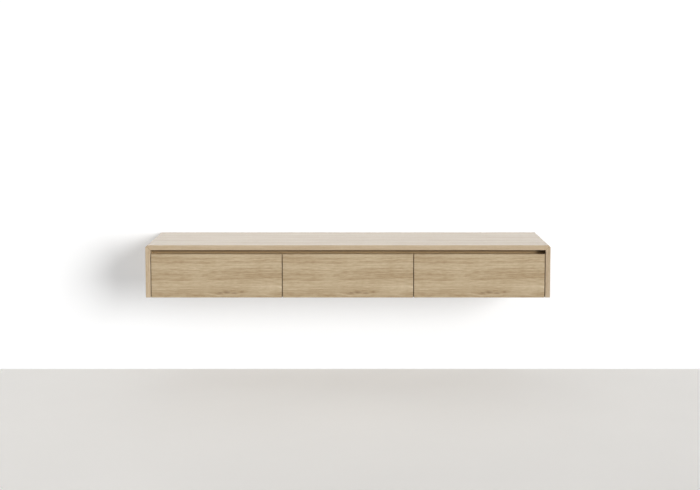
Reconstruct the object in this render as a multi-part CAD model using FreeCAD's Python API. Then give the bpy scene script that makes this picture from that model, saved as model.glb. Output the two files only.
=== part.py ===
import FreeCAD, Part
import math
import os

# A wall-hung credenza in oak: a mitred case with three inset drawers, opened by a finger channel
# that runs the whole width under the top. Lengths are millimetres. +X is the viewer's right, the
# fronts face -Y and the wall is the plane y = 0. The origin is on the wall, in the middle of the
# line of wall screws.

# Overall size
width = 1800.0
height = 235.0
depth = 400.0
top_above_screws = 100.0

# Case boards
case_board = 22.0
divider_board = 19.0
back_board = 16.0
back_set_in = 20.0
corner_chamfer = 9.0
case_arris = 1.5

# Finger channel and the rail that closes it behind
channel_height = 18.0
channel_depth = 45.0
rail_board = 18.0
rail_height = 58.0

# Drawer fronts
front_board = 19.0
front_gap = 3.0
front_arris = 1.0
front_stand_off = 2.0

# Drawer boxes
box_board = 12.0
box_above_bottom = 8.0
box_rail_room = 5.0
box_rear_room = 25.0
box_housing_depth = 5.0
box_back_inset = 6.0
box_bottom_board = 6.0
box_bottom_lift = 12.0
box_groove_depth = 6.0
box_groove_play = 0.2
box_edge_round = 1.5

# Drawer slides: a case rail, a middle rail and an inner rail, one inside the other
slide_thickness = 12.7
slide_set_back = 3.0
slide_rear_room = 17.0
slide_above_box_foot = 22.5
slide_sheet = 1.2
slide_bend = 0.8
case_rail_height = 45.0
middle_rail_height = 33.0
inner_rail_height = 22.2
case_rail_lip = 1.7
middle_rail_inset = 3.4
middle_rail_lip = 1.5
inner_rail_inset = 5.4

# Ball cages between the rails
ball_play = 0.15
ball_count = 6
cage_end_margin = 10.0
cage_strip = 0.8
cage_strip_width = 5.0
cage_ball_play = 0.1
middle_rail_travel_share = 0.5
outer_cage_travel_share = 0.25
inner_cage_travel_share = 0.75

# Dowels and mitre splines
dowel_radius = 4.0
dowel_in_face = 12.0
dowel_in_edge = 28.0
dowel_end_room = 1.0
dowel_play = 0.1
dowel_edge_margin = 45.0
dowel_side_count = 3
dowel_rail_margin = 14.0
mitre_degrees = 45.0
spline_thickness = 4.0
spline_width = 16.0
spline_from_inner_corner = 9.0
spline_stop = 20.0

# Screws
screw_radius = 1.9
screw_head_radius = 3.6
screw_head_height = 1.7
screw_tip = 2.0
screw_play = 0.1
slide_screw_cover = 1.7
slide_screw_count = 3
slide_screw_end_margin = 35.0
front_screw_cover = 5.0
front_screw_side_margin = 60.0
front_screw_foot_margin = 30.0
front_screw_head_margin = 22.0
cleat_screw_cover = 4.0
cleat_screw_count = 6
cleat_screw_end_margin = 75.0
cleat_screw_below_top = 16.0

# Cleats: two bevelled strips that hook into each other, and the spacer below them
cleat_play = 2.0
wall_cleat_end_room = 78.0
cabinet_cleat_end_room = 53.0
wall_cleat_below_screws = 30.0
wall_cleat_above_screws = 22.0
wall_hole_radius = 3.5
wall_hole_end_margin = 80.0
wall_hole_count = 4
wall_head_radius = 8.0
wall_head_depth = 7.0
spacer_end_room = 78.0
spacer_height = 40.0

# How far a cutting shape runs past the face that it opens
overrun = 1.0

# Places that several pieces share
half_width = width / 2
inner_half_width = half_width - case_board
top_z = top_above_screws
foot_z = top_z - height
ceiling_z = top_z - case_board
floor_z = foot_z + case_board
front_y = -depth
front_back_y = front_y + front_board
case_front_y = front_back_y + front_stand_off
rail_front_y = front_y + channel_depth
rail_back_y = rail_front_y + rail_board
rail_foot_z = ceiling_z - rail_height
back_rear_y = -back_set_in
back_front_y = back_rear_y - back_board
front_top_z = ceiling_z - channel_height
box_foot_z = floor_z + box_above_bottom
box_top_z = rail_foot_z - box_rail_room
box_back_y = back_front_y - box_rear_room
box_bottom_z = box_foot_z + box_bottom_lift
slide_z = box_foot_z + slide_above_box_foot + case_rail_height / 2
slide_front_y = front_back_y + slide_set_back
slide_back_y = box_back_y - slide_rear_room
slide_length = slide_back_y - slide_front_y
cleat_board = back_set_in - cleat_play

# Lengths of the fasteners, which stop short of the far face of what they go into
slide_screw_length = slide_sheet + divider_board / 2 - slide_screw_cover
front_screw_length = box_board + front_board - front_screw_cover
cleat_screw_length = cleat_board + back_board - cleat_screw_cover

# A slide pulls out by its own length, and a cage fills what then still overlaps of its two rails
slide_travel = slide_length
cage_length = slide_length - slide_travel * middle_rail_travel_share - 2 * cage_end_margin

# The drawers, which share the width between the sides
drawer_names = ("left", "centre", "right")
front_width = (2 * inner_half_width - (len(drawer_names) + 1) * front_gap) / len(drawer_names)


def vec(x, y, z):
    """A point or direction in space."""
    return FreeCAD.Vector(x, y, z)


def block(x_span, y_span, z_span):
    """A box between the low and high value of each span."""
    spans = (x_span, y_span, z_span)
    low = vec(*(span[0] for span in spans))
    return Part.makeBox(*(span[1] - span[0] for span in spans), low)


def prism(points, run):
    """A flat polygon of corner points, carried along the vector run."""
    face = Part.Face(Part.makePolygon(points + points[:1]))
    return face.extrude(run)


def case_section(corners):
    """A section drawn as (x, z) corners at the front plane, carried back to the wall."""
    return prism([vec(x, front_y, z) for x, z in corners], vec(0, depth, 0))


def ease(shape, radius, wanted):
    """Round the wanted edges of a shape."""
    return shape.makeFillet(radius, [edge for edge in shape.Edges if wanted(edge)])


def lies_at(edge, place):
    """Whether both ends of an edge are where place says."""
    return all(place(end.Point) for end in edge.Vertexes)


def runs_along(edge, direction):
    """Whether a straight edge runs along a unit direction, either way."""
    run = edge.Vertexes[-1].Point - edge.Vertexes[0].Point
    return math.isclose(abs(run.dot(direction)), run.Length)


def around_front(edge):
    """Whether an edge borders a face in the plane of the fronts."""
    return lies_at(edge, lambda point: math.isclose(point.y, front_y))


def on_box_top(edge):
    """Whether an edge lies in the plane of the drawer boxes' top edges."""
    return lies_at(edge, lambda point: math.isclose(point.z, box_top_z))


def spaced(low, high, count):
    """Evenly spaced places from low to high, both included."""
    return [low + (high - low) * i / (count - 1) for i in range(count)]


def rod(start, direction, length, radius):
    """A round rod from start along a unit direction."""
    return Part.makeCylinder(radius, length, start, direction)


def cut_all(shape, tools):
    """A shape with every tool cut out of it."""
    return shape.cut(Part.makeCompound(tools)) if tools else shape


# Fasteners. Each one gives its own solid and the hole that it needs.


def dowel(joint, into_edge):
    """A dowel across a butt joint: joint is on the joint plane, into_edge points into the deep hole."""
    start = joint - into_edge * dowel_in_face
    return rod(start, into_edge, dowel_in_face + dowel_in_edge, dowel_radius)


def dowel_hole(joint, into_edge):
    """The two blind holes of a dowel as one rod, a little wider and longer than the dowel."""
    start = joint - into_edge * (dowel_in_face + dowel_end_room)
    length = dowel_in_face + dowel_in_edge + 2 * dowel_end_room
    return rod(start, into_edge, length, dowel_radius + dowel_play)


def pan_screw(seat, direction, length):
    """A screw whose flat-bottomed head stands on seat, with its shank along direction."""
    head = rod(seat - direction * screw_head_height, direction, screw_head_height, screw_head_radius)
    shank = rod(seat, direction, length - screw_tip, screw_radius)
    tip = Part.makeCone(screw_radius, 0, screw_tip, seat + direction * (length - screw_tip), direction)
    return head.fuse([shank, tip]).removeSplitter()


def pan_screw_hole(seat, direction, length):
    """The hole of a pan screw's shank, open past its seat."""
    start = seat - direction * overrun
    return rod(start, direction, length + overrun + screw_play, screw_radius + screw_play)


def flush_screw(seat, direction, length):
    """A countersunk screw whose head lies flush in the face at seat."""
    head = Part.makeCone(screw_head_radius, screw_radius, screw_head_height, seat, direction)
    shank = rod(seat, direction, length - screw_tip, screw_radius)
    tip = Part.makeCone(screw_radius, 0, screw_tip, seat + direction * (length - screw_tip), direction)
    return head.fuse([shank, tip]).removeSplitter()


def flush_screw_hole(seat, direction, length):
    """The hole and countersink of a flush screw."""
    wide = screw_head_radius + screw_play
    sink = Part.makeCone(wide, screw_radius + screw_play, screw_head_height + screw_play, seat, direction)
    return pan_screw_hole(seat, direction, length).fuse(sink)


# Case


def case_shell():
    """The top and both sides as one bent board, with the two corner chamfers and eased arrises."""
    corners = [
        (-half_width, foot_z),
        (-half_width, top_z - corner_chamfer),
        (-half_width + corner_chamfer, top_z),
        (half_width - corner_chamfer, top_z),
        (half_width, top_z - corner_chamfer),
        (half_width, foot_z),
        (inner_half_width, foot_z),
        (inner_half_width, ceiling_z),
        (-inner_half_width, ceiling_z),
        (-inner_half_width, foot_z),
    ]
    return ease(case_section(corners), case_arris, around_front)


def mitre_spline(side):
    """A loose tongue across the mitre on one side (-1 left, 1 right), square to the joint."""
    length = depth - 2 * spline_stop
    half = (spline_width / 2, spline_thickness / 2)
    tongue = block((-half[0], half[0]), (front_y + spline_stop, front_y + spline_stop + length),
                   (-half[1], half[1]))
    tongue.rotate(vec(0, 0, 0), vec(0, 1, 0), side * mitre_degrees)
    along = spline_from_inner_corner / math.sqrt(2)
    tongue.translate(vec(side * (inner_half_width + along), 0, ceiling_z + along))
    return tongue


def divider_x(side):
    """The middle of the divider on one side (-1 left, 1 right), behind the gap between two fronts."""
    return side * (front_width + front_gap) / 2


def case_dowels():
    """Every dowel of the case as (place on the joint plane, direction into the edge-drilled board)."""
    places = []
    depth_rows = spaced(case_front_y + dowel_edge_margin, -dowel_edge_margin, dowel_side_count)
    rail_rows = (rail_foot_z + dowel_rail_margin, ceiling_z - dowel_rail_margin)
    back_rows = (floor_z + dowel_edge_margin, ceiling_z - dowel_edge_margin)
    for side in (-1, 1):
        wall_x = side * inner_half_width
        inward = vec(-side, 0, 0)
        for y in depth_rows:
            places.append((vec(wall_x, y, foot_z + case_board / 2), inward))
        for z in rail_rows:
            places.append((vec(wall_x, (rail_front_y + rail_back_y) / 2, z), inward))
        for z in back_rows:
            places.append((vec(wall_x, (back_rear_y + back_front_y) / 2, z), inward))
        for y in (rail_back_y + dowel_edge_margin, back_front_y - dowel_edge_margin):
            places.append((vec(divider_x(side), y, floor_z), vec(0, 0, 1)))
            places.append((vec(divider_x(side), y, ceiling_z), vec(0, 0, -1)))
    return places


def top_panel(shell, cuts):
    """The top, cut to the mitre planes that run from the inner to the outer corners."""
    region = [(-half_width, top_z), (half_width, top_z), (inner_half_width, ceiling_z),
              (-inner_half_width, ceiling_z)]
    return cut_all(shell.common(case_section(region)), cuts)


def side_panel(shell, side, cuts):
    """One side (-1 left, 1 right), from its mitre down to the foot."""
    region = [(side * half_width, top_z), (side * half_width, foot_z),
              (side * inner_half_width, foot_z), (side * inner_half_width, ceiling_z)]
    return cut_all(shell.common(case_section(region)), cuts)


def bottom_panel(cuts):
    """The bottom between the sides. Its front edge lies behind the drawer fronts."""
    board = block((-inner_half_width, inner_half_width), (case_front_y, 0), (foot_z, floor_z))
    return cut_all(board, cuts)


def back_panel(cuts):
    """The structural back, set in from the wall by the hollow that holds the cleats."""
    board = block((-inner_half_width, inner_half_width), (back_front_y, back_rear_y), (floor_z, ceiling_z))
    return cut_all(board, cuts)


def grip_rail(cuts):
    """The continuous rail behind the finger channel, under the top."""
    board = block((-inner_half_width, inner_half_width), (rail_front_y, rail_back_y),
                  (rail_foot_z, ceiling_z))
    return cut_all(board, cuts)


def divider(side, cuts):
    """An upright between two drawers, notched at its top front corner for the grip rail."""
    x = divider_x(side) - divider_board / 2
    corners = [(case_front_y, floor_z), (case_front_y, rail_foot_z), (rail_back_y, rail_foot_z),
               (rail_back_y, ceiling_z), (back_front_y, ceiling_z), (back_front_y, floor_z)]
    board = prism([vec(x, y, z) for y, z in corners], vec(divider_board, 0, 0))
    return cut_all(board, cuts)


# Wall fixing


def bevel_z(y):
    """The height of the bevel that both cleats share, which climbs away from the wall."""
    return wall_cleat_above_screws - y


def wall_cleat():
    """The strip screwed to the wall, with through holes and sunk seats for the screw heads."""
    half_length = inner_half_width - wall_cleat_end_room
    half_run = half_length - wall_hole_end_margin
    corners = [(0, -wall_cleat_below_screws), (0, bevel_z(0)), (-cleat_board, bevel_z(-cleat_board)),
               (-cleat_board, -wall_cleat_below_screws)]
    strip = prism([vec(-half_length, y, z) for y, z in corners], vec(2 * half_length, 0, 0))
    out = vec(0, -1, 0)
    holes = []
    for hole_x in spaced(-half_run, half_run, wall_hole_count):
        holes.append(rod(vec(hole_x, overrun, 0), out, cleat_board + 2 * overrun, wall_hole_radius))
        seat_y = wall_head_depth - cleat_board
        holes.append(rod(vec(hole_x, seat_y, 0), out, wall_head_depth + overrun, wall_head_radius))
    return cut_all(strip, holes)


def cabinet_cleat(cuts):
    """The strip on the back panel, whose bevel hangs on the wall cleat's."""
    half_length = inner_half_width - cabinet_cleat_end_room
    rear_y = back_rear_y + cleat_board
    corners = [(rear_y, bevel_z(rear_y)), (rear_y, ceiling_z), (back_rear_y, ceiling_z),
               (back_rear_y, bevel_z(back_rear_y))]
    strip = prism([vec(-half_length, y, z) for y, z in corners], vec(2 * half_length, 0, 0))
    return cut_all(strip, cuts)


def lower_spacer():
    """The strip on the bottom panel that fills the hollow and bears on the wall."""
    half_length = inner_half_width - spacer_end_room
    return block((-half_length, half_length), (back_rear_y, 0), (floor_z, floor_z + spacer_height))


def cleat_screw_places():
    """The screws that hold the cabinet cleat, driven through it into the back panel."""
    half_run = inner_half_width - cabinet_cleat_end_room - cleat_screw_end_margin
    z = ceiling_z - cleat_screw_below_top
    xs = spaced(-half_run, half_run, cleat_screw_count)
    return [(vec(x, back_rear_y + cleat_board, z), vec(0, -1, 0), cleat_screw_length) for x in xs]


# Drawers and their slides


class Bay:
    """The space of one drawer between two uprights, and the places that follow from it."""

    def __init__(self, index):
        self.name = drawer_names[index]
        front_pitch = front_width + front_gap
        self.front_low_x = -inner_half_width + front_gap + index * front_pitch
        self.front_high_x = self.front_low_x + front_width
        is_first = index == 0
        is_last = index == len(drawer_names) - 1
        half_divider = divider_board / 2
        self.low_x = -inner_half_width if is_first else self.front_low_x - front_gap / 2 + half_divider
        self.high_x = inner_half_width if is_last else self.front_high_x + front_gap / 2 - half_divider
        self.box_low_x = self.low_x + slide_thickness
        self.box_high_x = self.high_x - slide_thickness
        self.hands = {"left": (self.low_x, 1), "right": (self.high_x, -1)}


def channel(wall_x, inward, reach, rail_height, opens_inward):
    """A folded steel rail along Y, a C in section: reach is its near and far distance from the wall."""
    half = rail_height / 2
    near, far = reach
    web, lip = (near, far) if opens_inward else (far, near)
    toward_lip = slide_sheet if opens_inward else -slide_sheet
    corners = [
        (web, -half),
        (lip, -half),
        (lip, -half + slide_sheet),
        (web + toward_lip, -half + slide_sheet),
        (web + toward_lip, half - slide_sheet),
        (lip, half - slide_sheet),
        (lip, half),
        (web, half),
    ]
    points = [vec(wall_x + inward * off, slide_front_y, slide_z + z) for off, z in corners]
    rail = prism(points, vec(0, slide_length, 0))
    web_x = wall_x + inward * web
    return ease(rail, slide_bend, lambda edge: runs_along(edge, vec(0, 1, 0))
                and lies_at(edge, lambda point: math.isclose(point.x, web_x)
                            and math.isclose(abs(point.z - slide_z), half)))


def slide_screw_rows():
    """The Y places of a rail's screws."""
    return spaced(slide_front_y + slide_screw_end_margin, slide_back_y - slide_screw_end_margin,
                  slide_screw_count)


def case_rail_screws(wall_x, inward):
    """Screws through a case rail into the upright behind it."""
    out = vec(-inward, 0, 0)
    seat_x = wall_x + inward * slide_sheet
    return [(vec(seat_x, y, slide_z), out, slide_screw_length) for y in slide_screw_rows()]


def inner_rail_screws(wall_x, inward):
    """Screws through an inner rail into the drawer's side."""
    into_box = vec(inward, 0, 0)
    seat_x = wall_x + inward * (slide_thickness - slide_sheet)
    return [(vec(seat_x, y, slide_z), into_box, slide_screw_length) for y in slide_screw_rows()]


def case_rail(wall_x, inward):
    """The rail that is screwed to the case."""
    rail = channel(wall_x, inward, (0, slide_thickness - case_rail_lip), case_rail_height, True)
    return cut_all(rail, [pan_screw_hole(*screw) for screw in case_rail_screws(wall_x, inward)])


def middle_rail(wall_x, inward):
    """The rail between the other two, which moves half as far as the drawer."""
    reach = (middle_rail_inset, slide_thickness - middle_rail_lip)
    return channel(wall_x, inward, reach, middle_rail_height, True)


def inner_rail(wall_x, inward):
    """The rail that is screwed to the drawer's side."""
    rail = channel(wall_x, inward, (inner_rail_inset, slide_thickness), inner_rail_height, False)
    return cut_all(rail, [pan_screw_hole(*screw) for screw in inner_rail_screws(wall_x, inward)])


def cage_rear_y(travel_share):
    """The rear end of a closed cage, which reaches the front of its rails' overlap when open."""
    rail_shift = slide_travel * (travel_share - outer_cage_travel_share)
    open_front_y = slide_front_y - rail_shift + cage_end_margin
    return open_front_y + slide_travel * travel_share + cage_length


def ball_cages(bay, outside_height, inside_height, near, travel_share):
    """Two strips of balls for each slide, above and below: one kind of cage for one drawer."""
    track = (outside_height - inside_height) / 2
    ball_radius = track / 2 - ball_play
    rear_y = cage_rear_y(travel_share)
    front_end_y = rear_y - cage_length
    ball_rows = spaced(front_end_y + 2 * ball_radius, rear_y - 2 * ball_radius, ball_count)
    solids = []
    for wall_x, inward in bay.hands.values():
        ends = sorted((wall_x + inward * near, wall_x + inward * (near + cage_strip_width)))
        for up in (-1, 1):
            z = slide_z + up * (inside_height + track) / 2
            strip = block(ends, (front_end_y, rear_y), (z - cage_strip / 2, z + cage_strip / 2))
            centres = [vec(sum(ends) / 2, y, z) for y in ball_rows]
            pockets = [Part.makeSphere(ball_radius + cage_ball_play, centre) for centre in centres]
            solids.append(cut_all(strip, pockets))
            solids += [Part.makeSphere(ball_radius, centre) for centre in centres]
    return Part.makeCompound(solids)


def outer_cages(bay):
    """The cages between the case rails and the middle rails."""
    inside_of_case_rail = case_rail_height - 2 * slide_sheet
    near = middle_rail_inset + slide_sheet
    return ball_cages(bay, inside_of_case_rail, middle_rail_height, near, outer_cage_travel_share)


def inner_cages(bay):
    """The cages between the middle rails and the inner rails."""
    inside_of_middle_rail = middle_rail_height - 2 * slide_sheet
    return ball_cages(bay, inside_of_middle_rail, inner_rail_height, inner_rail_inset,
                      inner_cage_travel_share)


def front_screw_places(bay):
    """The four screws that hold a front, driven from inside the box."""
    seat_y = front_back_y + box_board
    xs = (bay.box_low_x + front_screw_side_margin, bay.box_high_x - front_screw_side_margin)
    zs = (box_foot_z + front_screw_foot_margin, box_top_z - front_screw_head_margin)
    return [(vec(x, seat_y, z), vec(0, -1, 0), front_screw_length) for x in xs for z in zs]


def drawer_front(bay):
    """The oak front, eased round its face, with the blind holes of its screws."""
    board = block((bay.front_low_x, bay.front_high_x), (front_y, front_back_y), (foot_z, front_top_z))
    return cut_all(ease(board, front_arris, around_front),
                   [pan_screw_hole(*screw) for screw in front_screw_places(bay)])


def box_bottom(bay, play):
    """The thin bottom that sits in the grooves of all four box boards, or with play the grooves."""
    reach = box_board - box_groove_depth
    x_span = (bay.box_low_x + reach - play, bay.box_high_x - reach + play)
    y_span = (front_back_y + reach - play, box_back_y - box_back_inset - reach + play)
    return block(x_span, y_span, (box_bottom_z, box_bottom_z + box_bottom_board + play))


def cross_board(bay, y_span):
    """The inner front or the back of a box, whose ends stand in the sides' housings."""
    reach = box_board - box_housing_depth
    board = block((bay.box_low_x + reach, bay.box_high_x - reach), y_span, (box_foot_z, box_top_z))
    return ease(board, box_edge_round,
                lambda edge: on_box_top(edge) and runs_along(edge, vec(1, 0, 0)))


def inner_front_span():
    """The Y span of the boxes' inner fronts."""
    return (front_back_y, front_back_y + box_board)


def back_span():
    """The Y span of the boxes' backs."""
    rear_y = box_back_y - box_back_inset
    return (rear_y - box_board, rear_y)


def box_inner_front(bay):
    """The board behind the front, with the countersunk holes of its screws and the groove."""
    cuts = [flush_screw_hole(*screw) for screw in front_screw_places(bay)]
    return cut_all(cross_board(bay, inner_front_span()), cuts + [box_bottom(bay, box_groove_play)])


def box_back(bay):
    """The board at the rear of the box, with the groove for its bottom."""
    return cut_all(cross_board(bay, back_span()), [box_bottom(bay, box_groove_play)])


def box_side(bay, hand):
    """A long side of the box, with housings for the two cross boards and the bottom's groove."""
    outer_x = bay.box_low_x if hand == "left" else bay.box_high_x
    wall_x, inward = bay.hands[hand]
    x_span = sorted((outer_x, outer_x + inward * box_board))
    board = block(x_span, (front_back_y, box_back_y), (box_foot_z, box_top_z))
    board = ease(board, box_edge_round,
                 lambda edge: on_box_top(edge) and runs_along(edge, vec(0, 1, 0)))
    reach = box_board - box_housing_depth
    housing_x = sorted((outer_x + inward * reach, outer_x + inward * (box_board + overrun)))
    housings = [block(housing_x, inner_front_span(), (box_foot_z - overrun, box_top_z + overrun)),
                block(housing_x, back_span(), (box_foot_z - overrun, box_top_z + overrun))]
    holes = [pan_screw_hole(*screw) for screw in inner_rail_screws(wall_x, inward)]
    return cut_all(board, housings + holes + [box_bottom(bay, box_groove_play)])


def drawer_screws(bay):
    """Every screw that rides with a drawer: four in its front and three in each inner rail."""
    screws = [flush_screw(*place) for place in front_screw_places(bay)]
    for wall_x, inward in bay.hands.values():
        screws += [pan_screw(*place) for place in inner_rail_screws(wall_x, inward)]
    return Part.makeCompound(screws)


def case_pieces(bays):
    """The named pieces of the case and its wall fixing."""
    shell = case_shell()
    dowels = case_dowels()
    dowel_cuts = [dowel_hole(*place) for place in dowels]
    splines = [mitre_spline(side) for side in (-1, 1)]
    slide_screws = [place for bay in bays for hand in bay.hands.values()
                    for place in case_rail_screws(*hand)]
    slide_cuts = [pan_screw_hole(*place) for place in slide_screws]
    cleat_cuts = [flush_screw_hole(*place) for place in cleat_screw_places()]
    upright_cuts = dowel_cuts + slide_cuts
    return {
        "top_panel": top_panel(shell, splines + dowel_cuts),
        "left_side_panel": side_panel(shell, -1, splines + upright_cuts),
        "right_side_panel": side_panel(shell, 1, splines + upright_cuts),
        "bottom_panel": bottom_panel(dowel_cuts),
        "left_divider": divider(-1, upright_cuts),
        "right_divider": divider(1, upright_cuts),
        "grip_rail": grip_rail(dowel_cuts),
        "back_panel": back_panel(dowel_cuts + cleat_cuts),
        "mitre_splines": Part.makeCompound(splines),
        "panel_dowels": Part.makeCompound([dowel(*place) for place in dowels]),
        "slide_screws": Part.makeCompound([pan_screw(*place) for place in slide_screws]),
        "wall_cleat": wall_cleat(),
        "cabinet_cleat": cabinet_cleat(cleat_cuts),
        "cleat_screws": Part.makeCompound([flush_screw(*place) for place in cleat_screw_places()]),
        "lower_spacer": lower_spacer(),
    }


def drawer_pieces(bay):
    """The named pieces of one drawer and of its two slides."""
    pieces = {
        "front": drawer_front(bay),
        "inner_front": box_inner_front(bay),
        "left_side": box_side(bay, "left"),
        "right_side": box_side(bay, "right"),
        "back": box_back(bay),
        "bottom": box_bottom(bay, 0),
        "screws": drawer_screws(bay),
        "outer_ball_cages": outer_cages(bay),
        "inner_ball_cages": inner_cages(bay),
    }
    for hand, (wall_x, inward) in bay.hands.items():
        pieces[hand + "_case_rail"] = case_rail(wall_x, inward)
        pieces[hand + "_middle_rail"] = middle_rail(wall_x, inward)
        pieces[hand + "_inner_rail"] = inner_rail(wall_x, inward)
    return {bay.name + "_drawer_" + name: shape for name, shape in pieces.items()}


def main():
    """Make every piece and write it to its own file."""
    bays = [Bay(index) for index in range(len(drawer_names))]
    pieces = case_pieces(bays)
    for bay in bays:
        pieces.update(drawer_pieces(bay))
    os.makedirs("parts", exist_ok=True)
    for name, shape in pieces.items():
        shape.exportStep(os.path.join("parts", name + ".step"))
        print(name, len(shape.Solids), "solids,", round(shape.Volume), "mm3")


main()
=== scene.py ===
import math

import bpy
import numpy as np
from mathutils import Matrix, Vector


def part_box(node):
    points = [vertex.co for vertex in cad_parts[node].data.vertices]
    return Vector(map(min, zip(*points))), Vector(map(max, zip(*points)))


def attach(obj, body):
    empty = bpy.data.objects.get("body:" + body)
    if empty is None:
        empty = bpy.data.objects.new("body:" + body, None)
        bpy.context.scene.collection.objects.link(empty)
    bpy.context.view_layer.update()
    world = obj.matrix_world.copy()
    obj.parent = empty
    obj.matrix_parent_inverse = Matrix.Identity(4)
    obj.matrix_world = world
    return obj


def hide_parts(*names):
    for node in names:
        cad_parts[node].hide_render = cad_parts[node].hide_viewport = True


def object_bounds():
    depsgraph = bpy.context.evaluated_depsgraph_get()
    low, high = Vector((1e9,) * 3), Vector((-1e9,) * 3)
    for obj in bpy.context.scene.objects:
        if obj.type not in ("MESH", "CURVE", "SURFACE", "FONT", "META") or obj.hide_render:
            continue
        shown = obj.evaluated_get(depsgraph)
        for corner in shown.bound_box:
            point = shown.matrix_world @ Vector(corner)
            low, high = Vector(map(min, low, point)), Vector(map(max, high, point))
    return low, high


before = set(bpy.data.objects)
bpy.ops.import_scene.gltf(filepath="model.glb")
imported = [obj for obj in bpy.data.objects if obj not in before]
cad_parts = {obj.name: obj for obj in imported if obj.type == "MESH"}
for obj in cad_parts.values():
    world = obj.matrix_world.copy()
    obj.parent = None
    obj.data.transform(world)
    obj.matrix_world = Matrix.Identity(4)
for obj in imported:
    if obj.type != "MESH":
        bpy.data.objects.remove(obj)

cad_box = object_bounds()

# The looks of a wall-hung oak credenza: its materials, its screws with their drives, the room around
# it, the light and the camera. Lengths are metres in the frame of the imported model: +X is the viewer's
# right, the fronts face -Y and the wall is the plane y = 0.
mm = 0.001

# The camera, which stands before the middle of the case, above it, and looks slightly down. Its shift
# is a share of the picture's width
picture_width = 700
sensor_width = 36 * mm
camera_place = (0.0092, -5.5259, 0.9025)
camera_tilt = math.radians(4.43)
focal_pixels = 1165.6
camera_shift = -0.1297

# The room, whose wall stands just clear of the case's back, and how much the camera sees both sheets
# glow beyond the light that falls on them
floor_z = -0.564
wall_y = 1 * mm
room_reach = 14.0
wall_height = 4.0
wall_glow = 0.40
floor_glow = 0.20

# The lamps: the degrees from the front toward the right and above the horizon at which each stands,
# seen from the case, its strength, and how many degrees wide it looks
lamps = {
    "key_lamp": (41, 11.5, 3.0, 28),
    "rear_lamp": (200, 4, 1.5, 40),
    "left_lamp": (255, 4, 1.0, 40),
    "floor_lamp": (0, -90, 0.6, 24),
}

# How strongly the sky lights the case from overhead, and from the horizon and below
sky_overhead = 0.48
sky_below = 0.20

# The drawers, from left to right
drawer_names = ("left", "centre", "right")

# How a board lies for each way that its grain can run: the turn that lays the pattern's X along it
grain_turns = {
    "X": (0, 0, 0),
    "Y": (0, 0, math.pi / 2),
    "Z": (0, -math.pi / 2, 0),
}

# The darkest and the palest tone of each stack of oak. The fronts' stack covers the inner boards too
front_tones = ("#A58C69", "#CDBA9A")
pale_tones = ("#AD9473", "#D9C6A9")
right_side_tones = ("#A78E6F", "#D1BEA2")
# The rail behind the finger channel is toned darker than the rest of the oak: painted shade for the
# channel
channel_shade_tones = ("#6E573B", "#8F7A5C")
# The paler tone that the rail turns to toward its foot: painted light where the channel's shade lifts
painted_light_tone = "#C2A47C"
deepest_tone = "#624425"

# How each finish of the oak shines: how much lacquer lies over the wood, and how shiny the wood is.
# Below the lacquer, pale wood is smoother than dark wood
oak_finishes = {
    "oak_veneer": (0.8, 0.5),
    "oiled_oak": (0.0, 0.2),
}
lacquer_roughness = 0.22
pale_wood_roughness = 0.42
dark_wood_roughness = 0.50

# The grain of oak. The trunk's slow wandering bends it, growth rings follow it, and so do broad bands,
# of which the first pale one lies this far from the board's edge. The rings' shift is in radians
wander_length = 420 * mm
wander_width = 90 * mm
wander_reach = 38 * mm
ring_spacing = 2.6 * mm
ring_shift = 14.0
ring_shift_length = 400 * mm
ring_shift_width = 9 * mm
band_spacing = 78 * mm
first_band = 71 * mm

# The marks that lighten and darken oak: how long and wide they are, how many sizes of finer marks
# they hold, how strong the finer ones are, and how strongly they all show. Clouds ignore the grain,
# and early wood darkens, so its strength is below zero
grain_marks = (
    (900 * mm, 12 * mm, 3.0, 0.6, 1.7),
    (90 * mm, 7 * mm, 4.0, 0.6, 1.45),
    (26 * mm, 5 * mm, 2.0, 0.5, 0.9),
    (30 * mm, 0.9 * mm, 1.0, 0.5, 0.5),
)
cloud_marks = (300 * mm, 70 * mm, 2.0, 0.5, 0.8)
band_strength = 0.16
early_wood_strength = -0.16

# Open pores are 0.3 mm wide and a glue line 0.2 mm; they are drawn wider so that they show at all. A
# pore's marks begin and end it at these values, and late wood has only a share of early wood's pores
pore_length = 14 * mm
pore_width = 0.6 * mm
pore_rim = 0.52
pore_core = 0.68
late_wood_pores = 0.3
glue_line_width = 1.6 * mm

# An eased edge is face up to the first of these turns toward the grain, and end grain from the second
# on, as cosines
face_turn = 0.35
end_turn = 0.65

# How far the wood turns toward its deepest tone
pore_depth = 0.22
knot_depth = 0.5
glue_line_depth = 0.45
end_grain_depth = 0.75

# Knots on each drawer front: how far right of the front's left edge, how far above its foot, half
# length along the grain, half height
front_knots = (
    (306 * mm, 20 * mm, 12 * mm, 4 * mm),
    (336 * mm, 24 * mm, 18 * mm, 5 * mm),
    (370 * mm, 20 * mm, 12 * mm, 4 * mm),
    (404 * mm, 25 * mm, 7 * mm, 3 * mm),
)

# How far from a knot's middle, in its half sizes, its dark core and its rim end, and the grain is drawn
# toward the knots' row fully and not at all. The pull is a share of the way there
knot_core = 0.2
knot_rim = 1.5
knot_pull_near = 0.5
knot_pull_far = 5.0
knot_pull = 0.75

# The rail's painted light, a paler tone that stands for the channel's shade lifting toward its foot, is
# strongest level with the fronts' top edges and fades out this far above, leaving painted shade higher up
painted_light_strength = 0.85
painted_light_height = 11 * mm

# Birch plywood's plies are about this thick
ply_thickness = 1.4 * mm

# A screw: its shank, its head, which is flat round the drive, and the drive's six lobes
screw_radius = 1.9 * mm
screw_tip_length = 2 * mm
head_radius = 3.6 * mm
head_height = 1.7 * mm
head_edge_height = 0.45 * mm
crown_flat_radius = 2 * mm
crown_rings = 4
drive_depth = 1.1 * mm
drive_rim_radius = 1.45 * mm
drive_foot_radius = 1.3 * mm
drive_lobes = 6
drive_lobe_depth = 0.22 * mm
screw_sides = 24
sharp_angle = math.radians(35)

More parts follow.
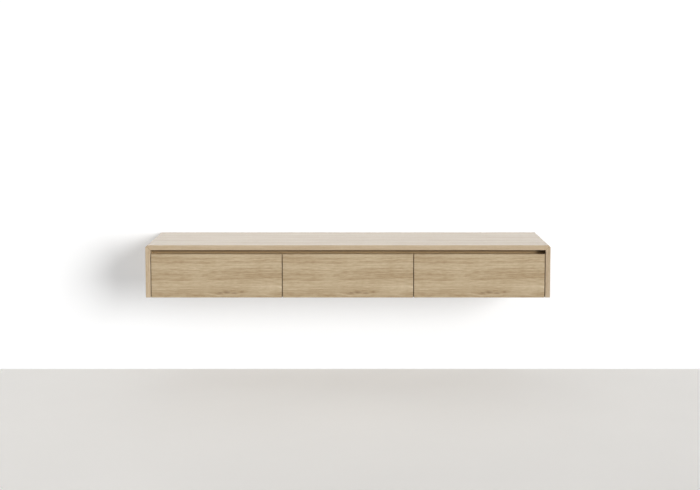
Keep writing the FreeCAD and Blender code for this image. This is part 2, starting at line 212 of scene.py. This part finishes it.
# The screws' lengths, how many stand in a row, and how far they are from the ends of what they hold
rail_sheet_thickness = 1.2 * mm
rail_screw_length = 9 * mm
rail_screw_count = 3
rail_screw_margin = 35 * mm
front_screw_length = 26 * mm
front_screw_side_margin = 60 * mm
front_screw_foot_margin = 30 * mm
front_screw_top_margin = 22 * mm
cleat_screw_length = 30 * mm
cleat_screw_count = 6
cleat_screw_margin = 75 * mm
cleat_screw_below_top = 16 * mm


def colour(code):
    """An sRGB hex code as the linear colour that a node takes."""
    parts = [int(code[place:place + 2], 16) / 255 for place in (1, 3, 5)]
    linear = [part / 12.92 if part <= 0.04045 else ((part + 0.055) / 1.055) ** 2.4 for part in parts]
    return (*linear, 1.0)


def add(tree, kind, feeds, output=None, **settings):
    """Adds a node, sets it and feeds its inputs with values or other nodes' outputs.

    Inputs and the wanted output go by their identifiers. The first output is given back if none is
    named, and the node itself if it has no outputs.
    """
    node = tree.nodes.new("ShaderNode" + kind)
    for name, value in settings.items():
        setattr(node, name, value)
    inputs = {socket.identifier: socket for socket in node.inputs}
    for name, value in feeds.items():
        if isinstance(value, bpy.types.NodeSocket):
            tree.links.new(value, inputs[name])
        else:
            inputs[name].default_value = value
    outputs = {socket.identifier: socket for socket in node.outputs}
    return outputs[output] if output else next(iter(outputs.values()), node)


def new_material(name):
    """An empty material and its node tree."""
    material = bpy.data.materials.new(name)
    material.use_nodes = True
    material.node_tree.nodes.clear()
    return material, material.node_tree


def along_grain(tree, grain, start=(0, 0, 0)):
    """Every place as seen from a board's start corner, turned so that X runs along the grain."""
    room = add(tree, "TexCoord", {}, "Object")
    feeds = {"Vector": room, "Location": start, "Rotation": grain_turns[grain]}
    return add(tree, "Mapping", feeds, vector_type="TEXTURE")


def marks(tree, place, length, width, detail=1.0, roughness=0.5):
    """Marks that are about that long along the grain and that wide across it, as a value around 0.5."""
    repeats = (1 / length, 1 / width, 1 / width)
    stretched = add(tree, "VectorMath", {"Vector": place, "Vector_001": repeats}, operation="MULTIPLY")
    feeds = {"Vector": stretched, "Scale": 1.0, "Detail": detail, "Roughness": roughness}
    return add(tree, "TexNoise", feeds)


def knot_distance(tree, place, knot):
    """How far a place is from a knot's middle, in the knot's own half sizes."""
    along, up, half_length, half_height = knot
    middle = (-along / half_length, 0, -up / half_height)
    sizes = (1 / half_length, 0, 1 / half_height)
    feeds = {"Vector": place, "Vector_001": sizes, "Vector_002": middle}
    offset = add(tree, "VectorMath", feeds, operation="MULTIPLY_ADD")
    return add(tree, "VectorMath", {"Vector": offset}, "Value", operation="LENGTH")


def flow_round_knots(tree, across, knots, distances):
    """The height across the grain, drawn toward the knots' row near them, so the grain bends round."""
    row = sum(up for _, up, _, _ in knots) / len(knots)
    nearest = distances[0]
    for distance in distances[1:]:
        nearest = add(tree, "Math", {"Value": nearest, "Value_001": distance}, operation="MINIMUM")
    feeds = {"Value": nearest, "From Min": knot_pull_far, "From Max": knot_pull_near, "To Max": knot_pull}
    pull = add(tree, "MapRange", feeds, interpolation_type="SMOOTHSTEP")
    to_row = add(tree, "Math", {"Value": row, "Value_001": across}, operation="SUBTRACT")
    feeds = {"Value": to_row, "Value_001": pull, "Value_002": across}
    return add(tree, "Math", feeds, operation="MULTIPLY_ADD")


def bent_grain(tree, place, knots, distances):
    """The height across the grain, bent round the knots and by the slow wandering of the trunk."""
    across = add(tree, "VectorMath", {"Vector": place, "Vector_001": (0, 1, 1)}, "Value",
                 operation="DOT_PRODUCT")
    if knots:
        across = flow_round_knots(tree, across, knots, distances)
    wander = marks(tree, place, wander_length, wander_width, detail=2.0, roughness=0.35)
    feeds = {"Value": wander, "Value_001": wander_reach, "Value_002": across}
    return add(tree, "Math", feeds, operation="MULTIPLY_ADD")


def growth_rings(tree, veneer, bent):
    """Early wood as 1 and late wood as 0, at the troughs and crests of a sine across the grain.

    Long faint marks shift the sine, so the rings are unevenly spaced.
    """
    uneven = marks(tree, veneer, ring_shift_length, ring_shift_width)
    shift = add(tree, "Math", {"Value": uneven, "Value_001": ring_shift}, operation="MULTIPLY")
    feeds = {"Value": bent, "Value_001": 2 * math.pi / ring_spacing, "Value_002": shift}
    angle = add(tree, "Math", feeds, operation="MULTIPLY_ADD")
    rings = add(tree, "Math", {"Value": angle}, operation="SINE")
    return add(tree, "MapRange", {"Value": rings, "From Min": 0.9, "From Max": -0.6})


def broad_bands(tree, bent):
    """Broad bands along the grain, as a cosine: 1 in a pale one's middle, -1 in a dark one's."""
    turn = 2 * math.pi / band_spacing
    feeds = {"Value": bent, "Value_001": turn, "Value_002": -first_band * turn}
    angle = add(tree, "Math", feeds, operation="MULTIPLY_ADD")
    return add(tree, "Math", {"Value": angle}, operation="COSINE")


def oak_tone(tree, place, veneer, bent, early_wood, figure):
    """How pale the wood is: halfway, and for each layer its strength times its distance from its middle.

    The middle is 0.5 for marks, 0 for bands and 0.4 for early wood.
    """
    layers = [(marks(tree, veneer, *kind), strength, 0.5) for *kind, strength in grain_marks]
    *kind, strength = cloud_marks
    layers.append((marks(tree, place, *kind), strength, 0.5))
    layers.append((broad_bands(tree, bent), band_strength, 0.0))
    layers.append((early_wood, early_wood_strength, 0.4))
    tone = 0.5
    for layer, strength, middle in layers:
        shown = strength * figure
        feeds = {"Value": layer, "Value_001": shown, "Value_002": -middle * shown}
        share = add(tree, "Math", feeds, operation="MULTIPLY_ADD")
        tone = add(tree, "Math", {"Value": tone, "Value_001": share}, operation="ADD")
    return tone


def painted_light_share(tree):
    """How far the rail's tone turns toward a paler tone, by the height above the fronts' top edges:
    painted light at the foot, leaving painted shade higher up under the top board.
    """
    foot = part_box(drawer_names[0] + "_drawer_front")[1].z
    room = add(tree, "TexCoord", {}, "Object")
    height = add(tree, "SeparateXYZ", {"Vector": room}, "Z")
    feeds = {"Value": height, "From Min": foot + painted_light_height, "From Max": foot,
             "To Max": painted_light_strength}
    return add(tree, "MapRange", feeds)


def oak_pores(tree, veneer, early_wood):
    """Open pores as 1: short dashes along the grain, most of them in the early wood."""
    dashes = marks(tree, veneer, pore_length, pore_width)
    dashes = add(tree, "MapRange", {"Value": dashes, "From Min": pore_rim, "From Max": pore_core})
    rows = add(tree, "MapRange", {"Value": early_wood, "To Min": late_wood_pores})
    return add(tree, "Math", {"Value": dashes, "Value_001": rows}, operation="MULTIPLY")


def glue_line(tree):
    """1 on the glue line of the case's two mitres and 0 beside it, by the distance from their planes."""
    room = add(tree, "TexCoord", {}, "Object")
    x, z = (add(tree, "SeparateXYZ", {"Vector": room}, axis) for axis in "XZ")
    out = add(tree, "Math", {"Value": x}, operation="ABSOLUTE")
    beyond = add(tree, "Math", {"Value": out, "Value_001": z}, operation="SUBTRACT")
    corner = cad_box[1].x - cad_box[1].z
    near = glue_line_width / 2 * math.sqrt(2)
    return add(tree, "Math", {"Value": beyond, "Value_001": corner, "Value_002": near},
               operation="COMPARE")


def end_grain(tree, grain):
    """1 on a board's two ends and 0 on its faces, by how far the surface turns toward the grain.

    End grain drinks up more of the finish than a face does, so it comes out darker.
    """
    normal = add(tree, "TexCoord", {}, "Normal")
    run = tuple(float(axis == grain) for axis in "XYZ")
    turned = add(tree, "VectorMath", {"Vector": normal, "Vector_001": run}, "Value",
                 operation="DOT_PRODUCT")
    turned = add(tree, "Math", {"Value": turned}, operation="ABSOLUTE")
    return add(tree, "MapRange", {"Value": turned, "From Min": face_turn, "From Max": end_turn})


def deepest_shade(tree, shades):
    """How far a place turns toward the deepest tone: the most of its shades, each times its depth."""
    deepest = 0.0
    for shade, depth in shades:
        share = add(tree, "Math", {"Value": shade, "Value_001": depth}, operation="MULTIPLY")
        deepest = add(tree, "Math", {"Value": deepest, "Value_001": share}, operation="MAXIMUM")
    return deepest


def oak_shade(tree, grain, pores, distances, mitred):
    """How far oak turns toward its deepest tone at its pores, knots, and glue line or end grain."""
    shades = [(pores, pore_depth)]
    for distance in distances:
        dark = add(tree, "MapRange", {"Value": distance, "From Min": knot_rim, "From Max": knot_core})
        shades.append((dark, knot_depth))
    if mitred:
        shades.append((glue_line(tree), glue_line_depth))
    else:
        shades.append((end_grain(tree, grain), end_grain_depth))
    return deepest_shade(tree, shades)


def oak(board, grain, tones=front_tones, figure=1.0, finish="oak_veneer", knots=(), mitred=False,
        painted_light=False):
    """Rift-sawn European oak, sanded and finished with a clear matt lacquer or with oil.

    The eye sees fine growth lines in soft bands, darker streaks, open pores in rows along the grain
    and, at a low angle, the room mirrored faintly in the lacquer.
    """
    material, tree = new_material(f"{finish}.{board}")
    place = along_grain(tree, grain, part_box(board)[0])
    distances = [knot_distance(tree, place, knot) for knot in knots]
    bent = bent_grain(tree, place, knots, distances)
    along = add(tree, "SeparateXYZ", {"Vector": place}, "X")
    veneer = add(tree, "CombineXYZ", {"X": along, "Y": bent})
    early_wood = growth_rings(tree, veneer, bent)

    tone = oak_tone(tree, place, veneer, bent, early_wood, figure)
    dark, pale = (colour(code) for code in tones)
    tint = add(tree, "Mix", {"Factor_Float": tone, "A_Color": dark, "B_Color": pale}, "Result_Color",
               data_type="RGBA", clamp_factor=False)
    # On the rail, painted light: the tone turns paler toward the fronts' top edges, so higher up the rail
    # stays dark as painted shade under the top board
    if painted_light:
        feeds = {"Factor_Float": painted_light_share(tree), "A_Color": tint, "B_Color": colour(painted_light_tone)}
        tint = add(tree, "Mix", feeds, "Result_Color", data_type="RGBA")

    pores = oak_pores(tree, veneer, early_wood)
    shade = oak_shade(tree, grain, pores, distances, mitred)
    feeds = {"Factor_Float": shade, "A_Color": tint, "B_Color": colour(deepest_tone)}
    tint = add(tree, "Mix", feeds, "Result_Color", data_type="RGBA")

    lacquer, shine = oak_finishes[finish]
    relief = add(tree, "Bump", {"Strength": 0.35, "Distance": 0.15 * mm, "Height": pores}, invert=True)
    feeds = {"Value": tone, "From Min": 0.2, "From Max": 0.8,
             "To Min": dark_wood_roughness, "To Max": pale_wood_roughness}
    roughness = add(tree, "MapRange", feeds)
    feeds = {"Base Color": tint, "Roughness": roughness, "IOR": 1.5, "Normal": relief,
             "Specular IOR Level": shine, "Coat Weight": lacquer,
             "Coat Roughness": lacquer_roughness, "Coat IOR": 1.5}
    add(tree, "OutputMaterial", {"Surface": add(tree, "BsdfPrincipled", feeds)})
    return material


def plies(tree, board):
    """A board's pale plies as 1 and its darker end-grain ones as 0: a cosine of the depth in it.

    Both faces lie in the middle of a pale ply, so a face shows no stripes.
    """
    low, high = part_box(board)
    sizes = high - low
    thinnest = int(np.argmin(sizes))
    ply_pairs = max(1, round(sizes[thinnest] / (2 * ply_thickness)))
    turn = 2 * math.pi * ply_pairs / sizes[thinnest]
    room = add(tree, "TexCoord", {}, "Object")
    depth = add(tree, "SeparateXYZ", {"Vector": room}, "XYZ"[thinnest])
    feeds = {"Value": depth, "Value_001": turn, "Value_002": -low[thinnest] * turn}
    angle = add(tree, "Math", feeds, operation="MULTIPLY_ADD")
    wave = add(tree, "Math", {"Value": angle}, operation="COSINE")
    return add(tree, "MapRange", {"Value": wave, "From Min": -0.35, "From Max": 0.05})


def birch_plywood(board):
    """Birch plywood with a clear lacquer: pale, nearly plain faces, and plies that show at the edges."""
    low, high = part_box(board)
    material, tree = new_material("birch_plywood." + board)
    place = along_grain(tree, "XYZ"[np.argmax(high - low)], low)
    flame = marks(tree, place, 260 * mm, 26 * mm, detail=3.0, roughness=0.6)
    fibres = marks(tree, place, 40 * mm, 1.5 * mm, detail=2.0)
    tone = add(tree, "Math", {"Value": flame, "Value_001": fibres}, operation="ADD")
    tone = add(tree, "MapRange", {"Value": tone, "From Min": 0.6, "From Max": 1.4})
    feeds = {"Factor_Float": tone, "A_Color": colour("#D9BF93"), "B_Color": colour("#EBD9B6")}
    long_grain = add(tree, "Mix", feeds, "Result_Color", data_type="RGBA")
    feeds = {"Factor_Float": plies(tree, board), "A_Color": colour("#A9845A"), "B_Color": long_grain}
    tint = add(tree, "Mix", feeds, "Result_Color", data_type="RGBA")
    relief = add(tree, "Bump", {"Strength": 0.2, "Distance": 0.1 * mm, "Height": fibres})
    feeds = {"Base Color": tint, "Roughness": 0.45, "IOR": 1.5, "Normal": relief}
    add(tree, "OutputMaterial", {"Surface": add(tree, "BsdfPrincipled", feeds)})
    return material


def beech():
    """Turned beech dowel rod: plain and pinkish, with short dark flecks."""
    material, tree = new_material("turned_beech")
    place = add(tree, "TexCoord", {}, "Object")
    flecks = marks(tree, place, 3 * mm, 0.8 * mm)
    flecks = add(tree, "MapRange", {"Value": flecks, "From Min": 0.58, "From Max": 0.7})
    feeds = {"Factor_Float": flecks, "A_Color": colour("#D8B48A"), "B_Color": colour("#A97C52")}
    tint = add(tree, "Mix", feeds, "Result_Color", data_type="RGBA")
    feeds = {"Base Color": tint, "Roughness": 0.6, "IOR": 1.5}
    add(tree, "OutputMaterial", {"Surface": add(tree, "BsdfPrincipled", feeds)})
    return material


def rolled_steel(name, tone, streak_width, roughness, spread):
    """Steel rolled along Y, bare or zinc plated: metal with faint streaks that are more and less rough."""
    material, tree = new_material(name)
    place = along_grain(tree, "Y")
    streaks = marks(tree, place, 60 * mm, streak_width, detail=2.0)
    feeds = {"Value": streaks, "From Min": 0.3, "From Max": 0.7,
             "To Min": roughness - spread, "To Max": roughness + spread}
    feeds = {"Base Color": colour(tone), "Metallic": 1.0, "Roughness": add(tree, "MapRange", feeds)}
    add(tree, "OutputMaterial", {"Surface": add(tree, "BsdfPrincipled", feeds)})
    return material


def dress(node, material):
    """Gives a CAD node one material."""
    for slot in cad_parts[node].material_slots:
        slot.material = material


def dress_oak():
    """Oak on everything that shows of the case, and on the drawer fronts."""
    # The top and the left side come from one stack of veneer, the right side from a slightly darker one
    dress("top_panel", oak("top_panel", "X", pale_tones, figure=0.35, mitred=True))
    for board, tones in (("left_side_panel", pale_tones), ("right_side_panel", right_side_tones)):
        dress(board, oak(board, "Z", tones, figure=0.8, mitred=True))
    for board, grain in (("left_divider", "Z"), ("right_divider", "Z"), ("bottom_panel", "X"),
                         ("back_panel", "X")):
        dress(board, oak(board, grain))
    # The rail behind the finger channel is oiled oak toned darker than the rest, as painted shade for the
    # channel, with painted light making it paler toward its foot
    dress("grip_rail", oak("grip_rail", "X", channel_shade_tones, finish="oiled_oak", painted_light=True))
    # The three fronts come one after the other from the same stack of veneer, so they look alike
    for drawer in drawer_names:
        board = drawer + "_drawer_front"
        dress(board, oak(board, "X", knots=front_knots))


def dress_plywood():
    """Birch plywood on the drawer boxes, the cleats, the spacer and the splines."""
    boards = [f"{drawer}_drawer_{part}" for drawer in drawer_names
              for part in ("inner_front", "left_side", "right_side", "back", "bottom")]
    for board in boards + ["mitre_splines", "wall_cleat", "cabinet_cleat", "lower_spacer"]:
        dress(board, birch_plywood(board))


def dress_metal_and_dowels():
    """Steel on the slides and their cages, and beech on the dowels."""
    rail_steel = rolled_steel("zinc_plated_steel", "#C7C8C7", 1.5 * mm, roughness=0.34, spread=0.05)
    ball_steel = rolled_steel("polished_bearing_steel", "#D2D4D6", 0.6 * mm, roughness=0.14, spread=0.03)
    rails = [f"{side}_{part}_rail" for side in ("left", "right") for part in ("case", "middle", "inner")]
    for drawer in drawer_names:
        for rail in rails:
            dress(f"{drawer}_drawer_{rail}", rail_steel)
        for cages in ("outer_ball_cages", "inner_ball_cages"):
            dress(f"{drawer}_drawer_{cages}", ball_steel)
    dress("panel_dowels", beech())


def screw_outline(length, sunk):
    """The rings of a screw, from the foot of its drive over its head and down to its tip.

    Each is how far it lies past the seat, its radius, and how far that radius swings once for each
    lobe of the drive. A pan head's crown curves down as a quarter ellipse.
    """
    top = 0 if sunk else -head_height
    rings = [(top + drive_depth, drive_foot_radius, drive_lobe_depth),
             (top, drive_rim_radius, drive_lobe_depth)]
    if not sunk:
        for turn in np.linspace(0, math.pi / 2, crown_rings):
            drop = (head_height - head_edge_height) * math.cos(turn)
            spread = (head_radius - crown_flat_radius) * math.sin(turn)
            rings.append((-head_edge_height - drop, crown_flat_radius + spread, 0))
    rings.append((0, head_radius, 0))
    rings.append((head_height if sunk else 0, screw_radius, 0))
    rings.append((length - screw_tip_length, screw_radius, 0))
    return rings


def screw_points(seat, direction, length, sunk):
    """One screw's points: its rings round its axis, then the middle of its drive and its tip.

    A point stands from the axis by the ring's radius plus its swing times the cosine of the angle
    times the number of lobes.
    """
    past, radius, swing = np.array(screw_outline(length, sunk)).T[..., None]
    angle = np.linspace(0, 2 * math.pi, screw_sides, endpoint=False)
    along = np.array(direction)
    side = np.array((0, 0, 1))
    spokes = np.outer(np.cos(angle), side) + np.outer(np.sin(angle), np.cross(along, side))
    reach = radius + swing * np.cos(drive_lobes * angle)
    rings = past[..., None] * along + reach[..., None] * spokes
    ends = np.outer((past[0, 0], length), along)
    return np.vstack((rings.reshape(-1, 3), ends)) + np.array(seat)


def screw_faces(points):
    """The quads between one screw's rings, and the fans that close its drive and its tip."""
    drive_middle = len(points) - 2
    tip = len(points) - 1
    last_ring = drive_middle - screw_sides
    side = np.arange(screw_sides)
    after = np.roll(side, -1)
    ring = np.arange(0, last_ring, screw_sides)[:, None]
    lower = ring + screw_sides
    quads = np.stack((ring + side, ring + after, lower + after, lower + side), -1)
    drive_fan = np.stack((np.full(screw_sides, drive_middle), after, side), -1)
    tip_fan = np.stack((last_ring + side, last_ring + after, np.full(screw_sides, tip)), -1)
    return quads.reshape(-1, 4), np.vstack((drive_fan, tip_fan))


def drive_screws(node, body, screws, steel):
    """Stands for a node of plain screws with six-lobed ones, each given as screw_points takes it."""
    points, quads, fans = [], [], []
    for screw in screws:
        first = sum(len(part) for part in points)
        points.append(screw_points(*screw))
        screw_quads, screw_fans = screw_faces(points[-1])
        quads.append(first + screw_quads)
        fans.append(first + screw_fans)
    mesh = bpy.data.meshes.new("six_lobe_" + node)
    mesh.from_pydata(np.vstack(points), [], np.vstack(quads).tolist() + np.vstack(fans).tolist())
    mesh.polygons.foreach_set("use_smooth", [True] * len(mesh.polygons))
    mesh.set_sharp_from_angle(angle=sharp_angle)
    mesh.materials.append(steel)
    piece = bpy.data.objects.new(mesh.name, mesh)
    bpy.context.scene.collection.objects.link(piece)
    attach(piece, body)
    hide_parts(node)


def rail_screws(rail, toward):
    """Pan screws in a row, through a rail's sheet and into the board on that side of it."""
    low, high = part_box(rail)
    x = high.x - rail_sheet_thickness if toward > 0 else low.x + rail_sheet_thickness
    z = (low.z + high.z) / 2
    ys = np.linspace(low.y + rail_screw_margin, high.y - rail_screw_margin, rail_screw_count)
    return [((x, y, z), (toward, 0, 0), rail_screw_length, False) for y in ys]


def front_screws(drawer):
    """Four sunk screws that hold a drawer's front, driven from inside its box."""
    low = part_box(drawer + "_drawer_left_side")[0]
    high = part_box(drawer + "_drawer_right_side")[1]
    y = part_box(drawer + "_drawer_inner_front")[1].y
    return [((x, y, z), (0, -1, 0), front_screw_length, True)
            for x in (low.x + front_screw_side_margin, high.x - front_screw_side_margin)
            for z in (low.z + front_screw_foot_margin, high.z - front_screw_top_margin)]


def cleat_screws():
    """Sunk screws in a row, through the cabinet's cleat and into the back panel."""
    low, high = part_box("cabinet_cleat")
    z = high.z - cleat_screw_below_top
    xs = np.linspace(low.x + cleat_screw_margin, high.x - cleat_screw_margin, cleat_screw_count)
    return [((x, high.y, z), (0, -1, 0), cleat_screw_length, True) for x in xs]


def make_screws():
    """Every screw that shows when a drawer is open or the case is off the wall."""
    steel = rolled_steel("yellow_zinc_steel", "#CBB57C", 0.6 * mm, roughness=0.36, spread=0.05)
    in_case = []
    for drawer in drawer_names:
        in_case += rail_screws(drawer + "_drawer_left_case_rail", -1)
        in_case += rail_screws(drawer + "_drawer_right_case_rail", 1)
        in_drawer = front_screws(drawer)
        in_drawer += rail_screws(drawer + "_drawer_left_inner_rail", 1)
        in_drawer += rail_screws(drawer + "_drawer_right_inner_rail", -1)
        drive_screws(drawer + "_drawer_screws", drawer + "_drawer", in_drawer, steel)
    drive_screws("slide_screws", "case", in_case, steel)
    drive_screws("cleat_screws", "case", cleat_screws(), steel)


def on_rays(tree, *kinds):
    """1 on rays of these kinds and 0 on all others."""
    found = 0.0
    for kind in kinds:
        feeds = {"Value": found, "Value_001": add(tree, "LightPath", {}, kind)}
        found = add(tree, "Math", feeds, operation="MAXIMUM")
    return found


def clear_from_behind(tree, surface):
    """The surface on a sheet's front, and nothing on its back, so the camera may stand behind it."""
    behind = add(tree, "NewGeometry", {}, "Backfacing")
    feeds = {"Fac": behind, "Shader": surface, "Shader_001": add(tree, "BsdfTransparent", {})}
    return add(tree, "MixShader", feeds)


def wall_paint():
    """White wall paint that the camera sees up to full white, with the case's soft shadow on it."""
    material, tree = new_material("white_wall_paint")
    seen = on_rays(tree, "Is Camera Ray", "Is Glossy Ray")
    glow = add(tree, "Math", {"Value": seen, "Value_001": wall_glow}, operation="MULTIPLY")
    lit = add(tree, "BsdfDiffuse", {"Color": colour("#D4D4D4")})
    shine = add(tree, "Emission", {"Color": (1, 1, 1, 1), "Strength": glow})
    paint = add(tree, "AddShader", {"Shader": lit, "Shader_001": shine})
    add(tree, "OutputMaterial", {"Surface": clear_from_behind(tree, paint)})
    return material


def floor_screed():
    """Plain pale floor screed: matt, with a very faint cloudiness."""
    material, tree = new_material("pale_floor_screed")
    place = add(tree, "TexCoord", {}, "Object")
    clouds = marks(tree, place, 500 * mm, 500 * mm, detail=3.0)
    feeds = {"Factor_Float": clouds, "A_Color": colour("#E0DDD8"), "B_Color": colour("#E8E5E0")}
    tint = add(tree, "Mix", feeds, "Result_Color", data_type="RGBA")
    seen = on_rays(tree, "Is Camera Ray")
    glow = add(tree, "Math", {"Value": seen, "Value_001": floor_glow}, operation="MULTIPLY")
    feeds = {"Base Color": tint, "Roughness": 0.7, "IOR": 1.45,
             "Emission Color": (1, 1, 1, 1), "Emission Strength": glow}
    screed = add(tree, "BsdfPrincipled", feeds)
    add(tree, "OutputMaterial", {"Surface": clear_from_behind(tree, screed)})
    return material


def lay_sheet(name, corners, material):
    """One flat four-cornered face of the room, which isn't part of the object.

    It holds no light back and throws none onto the case: lamps behind and below it shine through.
    """
    mesh = bpy.data.meshes.new(name)
    mesh.from_pydata(corners, [], [(0, 1, 2, 3)])
    mesh.materials.append(material)
    sheet = bpy.data.objects.new(name, mesh)
    sheet.visible_shadow = False
    sheet.visible_diffuse = False
    bpy.context.scene.collection.objects.link(sheet)


def make_room():
    """The floor below the case and the wall behind it, each with its front toward the case."""
    left, right = -room_reach, room_reach
    near, far = -room_reach, room_reach
    top = floor_z + wall_height
    floor = [(left, near, floor_z), (right, near, floor_z), (right, far, floor_z), (left, far, floor_z)]
    wall = [(left, wall_y, floor_z), (right, wall_y, floor_z), (right, wall_y, top), (left, wall_y, top)]
    lay_sheet("floor", floor, floor_screed())
    lay_sheet("wall", wall, wall_paint())


def make_lamp(name, azimuth, elevation, strength, breadth):
    """A far soft lamp that lights everything alike.

    It isn't mirrored in the lacquer, which would clip to white there.
    """
    lamp = bpy.data.lights.new(name, "SUN")
    lamp.energy = strength
    lamp.angle = math.radians(breadth)
    holder = bpy.data.objects.new(name, lamp)
    holder.rotation_euler = (math.radians(90 - elevation), 0, math.radians(azimuth))
    holder.visible_glossy = False
    bpy.context.scene.collection.objects.link(holder)


def make_sky():
    """A sky that lights the case most from overhead, and that the camera and mirrors see as white."""
    world = bpy.data.worlds.new("studio")
    bpy.context.scene.world = world
    world.use_nodes = True
    tree = world.node_tree
    tree.nodes.clear()
    toward = add(tree, "TexCoord", {}, "Generated")
    climb = add(tree, "SeparateXYZ", {"Vector": toward}, "Z")
    light = add(tree, "MapRange", {"Value": climb, "To Min": sky_below, "To Max": sky_overhead})
    seen = on_rays(tree, "Is Camera Ray", "Is Glossy Ray", "Is Transmission Ray")
    strength = add(tree, "Mix", {"Factor_Float": seen, "A_Float": light, "B_Float": 1.0})
    background = add(tree, "Background", {"Color": (1, 1, 1, 1), "Strength": strength})
    add(tree, "OutputWorld", {"Surface": background})


def make_light():
    """The lamps and the sky.

    The key lamp stands on the right. The rear and left lamps are there for the faces that the front
    view doesn't show, and the floor lamp is the light that a pale floor throws back.
    """
    for name, settings in lamps.items():
        make_lamp(name, *settings)
    make_sky()


def make_camera():
    """The camera at the photograph's place, lens and framing."""
    lens = bpy.data.cameras.new("camera")
    # A lens is described in millimetres
    lens.sensor_width = sensor_width / mm
    lens.lens = focal_pixels * lens.sensor_width / picture_width
    lens.shift_y = camera_shift
    camera = bpy.data.objects.new("camera", lens)
    camera.location = camera_place
    camera.rotation_euler = (math.pi / 2 - camera_tilt, 0, 0)
    bpy.context.scene.collection.objects.link(camera)
    bpy.context.scene.camera = camera


make_camera()
make_room()
make_light()
dress_oak()
dress_plywood()
dress_metal_and_dowels()
make_screws()
bpy.context.scene.view_settings.view_transform = "Standard"
